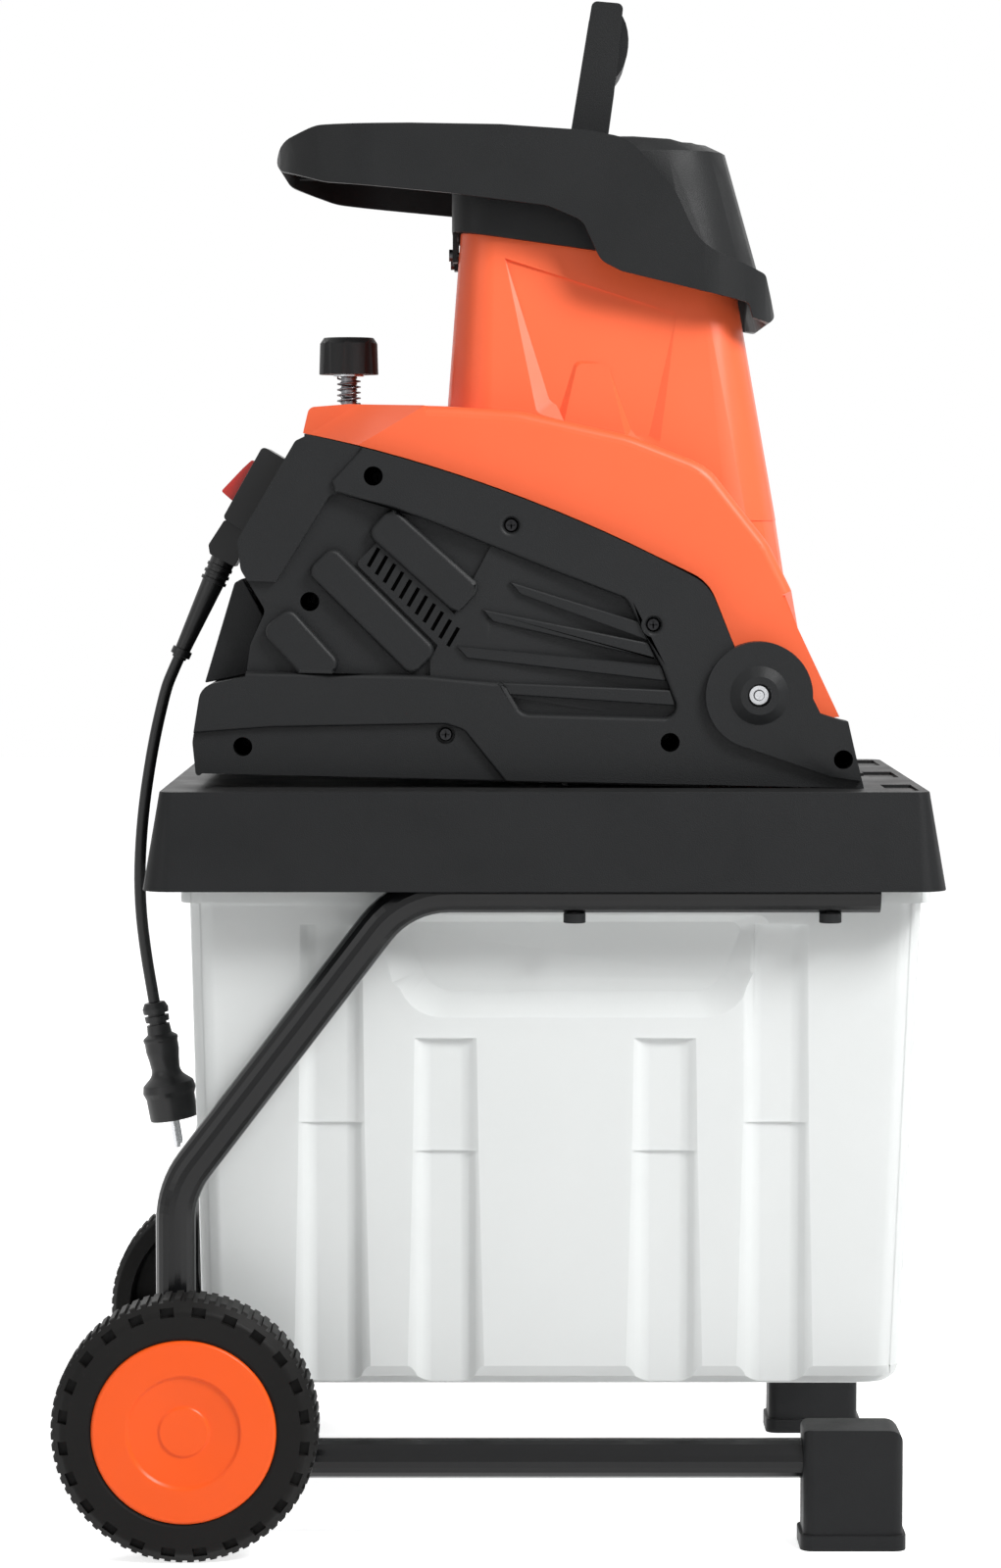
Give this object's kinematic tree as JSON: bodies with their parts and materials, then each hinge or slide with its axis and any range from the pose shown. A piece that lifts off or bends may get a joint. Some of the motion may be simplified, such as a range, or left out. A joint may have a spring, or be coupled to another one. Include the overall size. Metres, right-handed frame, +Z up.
{
  "type": "garden shredder",
  "caption": "Electric garden shredder: tilting orange chute with black hopper and pusher over a knife-disc housing, on a wheeled tube frame with a pull-out catch box.",
  "frame": {"origin": "floor level, at the middle of the object's bounding box without the hanging lead", "axes": "+X from the wheels towards the feet and the box's pull side, +Y across from the switch side's right to left, +Z up"},
  "size_m": [0.578, 0.48, 1.0166],
  "materials": {
    "black_plastic": "fine moulded grain, satin",
    "gloss_black": "smooth moulded",
    "orange_plastic": "semi-gloss moulded",
    "milky_plastic": "smooth translucent white",
    "tube_paint": "semi-gloss black powder coat",
    "tyre_plastic": "satin",
    "steel": "zinc plated",
    "dark_steel": "blackened steel",
    "aluminium": "die cast",
    "copper": "enamelled wire and copper bars",
    "brass": "turned",
    "carbon": "dry carbon",
    "soft_grip": "soft ribbed",
    "lead_rubber": "smooth satin",
    "red_plastic": "smooth, slightly clear"
  },
  "bodies": {
    "base": {"frame_tube_right": "tube_paint", "frame_tube_left": "tube_paint", "foot_right": "black_plastic", "foot_left": "black_plastic", "axle": "dark_steel", "axle_spacers": "black_plastic", "axle_caps": "steel", "base_tray": "black_plastic", "tray_bolts": "black_plastic", "lower_housing_right": "black_plastic", "lower_housing_left": "black_plastic", "housing_screws": "dark_steel", "rear_cover": "black_plastic", "pivot_pin": "steel", "pivot_washers": "steel", "pivot_screws": "steel", "gear_plate": "aluminium", "motor_bracket": "aluminium", "brush_bracket": "black_plastic", "stator": "dark_steel", "windings": "copper", "brush_holders": "brass", "carbon_brushes": "carbon", "spindle_bearings": "steel", "armature_bearings": "steel", "lock_insert": "brass", "interlock_switch": "carbon", "switch_box": "gloss_black", "inlet_block": "gloss_black", "strain_relief": "lead_rubber", "mains_cord": "lead_rubber", "plug": "lead_rubber", "plug_pins": "steel"},
    "wheel_right": {"wheel_right": "tyre_plastic", "wheel_cap_right": "orange_plastic"},
    "wheel_left": {"wheel_left": "tyre_plastic", "wheel_cap_left": "orange_plastic"},
    "box": {"catch_box": "milky_plastic"},
    "cutter": {"spindle": "steel", "drive_gear": "dark_steel", "knife_disc": "dark_steel", "knives": "steel", "knife_screws": "dark_steel", "disc_bolt": "steel"},
    "rotor": {"armature": "dark_steel", "commutator": "copper", "cooling_fan": "black_plastic", "pinion": "steel"},
    "upper": {"upper_housing": "orange_plastic", "hopper": "black_plastic", "hopper_screws": "dark_steel", "lock_seat": "steel", "lock_spring": "steel"},
    "pusher": {"pusher": "black_plastic", "pusher_grip": "soft_grip"},
    "lock_ring": {"lock_washer": "steel"},
    "lock": {"lock_knob": "black_plastic", "lock_stud": "dark_steel"},
    "flap": {"switch_flap": "red_plastic"},
    "plunger": {"interlock_plunger": "red_plastic"}
  },
  "joints": [
    {"name": "wheel_right_spin", "type": "hinge", "parent": "base", "child": "wheel_right", "pos_m": [-0.203, -0.2185, 0.086], "axis": [0, 1, 0], "continuous": true},
    {"name": "wheel_left_spin", "type": "hinge", "parent": "base", "child": "wheel_left", "pos_m": [-0.203, 0.2185, 0.086], "axis": [0, 1, 0], "continuous": true},
    {"name": "box_slide", "type": "slide", "parent": "base", "child": "box", "axis": [1, 0, 0], "range_m": [0, 0.52]},
    {"name": "hopper_hinge", "type": "hinge", "parent": "base", "child": "upper", "pos_m": [0.169, 0, 0.555], "axis": [0, 1, 0], "range_deg": [0, 60]},
    {"name": "pusher_slide", "type": "slide", "parent": "upper", "child": "pusher", "axis": [0.0872, 0, 0.9962], "range_m": [0, 0.35]},
    {"name": "cutter_spin", "type": "hinge", "parent": "base", "child": "cutter", "pos_m": [0.012, 0, 0.64], "axis": [0.4226, 0, 0.9063], "continuous": true},
    {"name": "rotor_spin", "type": "hinge", "parent": "base", "child": "rotor", "pos_m": [-0.02788, 0, 0.6586], "axis": [0.4226, 0, 0.9063], "continuous": true},
    {"name": "knob_slide", "type": "slide", "parent": "upper", "child": "lock_ring", "axis": [0, 0, 1], "range_m": [-0.01201, 0], "stiffness_N_per_m": 60, "springref_m": 0.005, "deforming": ["lock_spring"]},
    {"name": "knob_turn", "type": "hinge", "parent": "lock_ring", "child": "lock", "pos_m": [-0.104, 0, 0.774], "axis": [0, 0, 1], "range_deg": [-2160, 0]},
    {"name": "plunger_slide", "type": "slide", "parent": "base", "child": "plunger", "axis": [0, 0, 1], "range_m": [-0.00251, 0], "stiffness_N_per_m": 15, "springref_m": 0.002},
    {"name": "flap_hinge", "type": "hinge", "parent": "base", "child": "flap", "pos_m": [-0.16519, 0, 0.7053], "axis": [0, 1, 0], "range_deg": [0, 75]}
  ],
  "couplings": [
    {"joint": "rotor_spin", "follows": "cutter_spin", "ratio": -2.1429},
    {"joint": "knob_slide", "follows": "knob_turn", "m_per_rad": 0.00031831},
    {"joint": "plunger_slide", "follows": "knob_turn", "m_per_rad": 0.000066315}
  ]
}
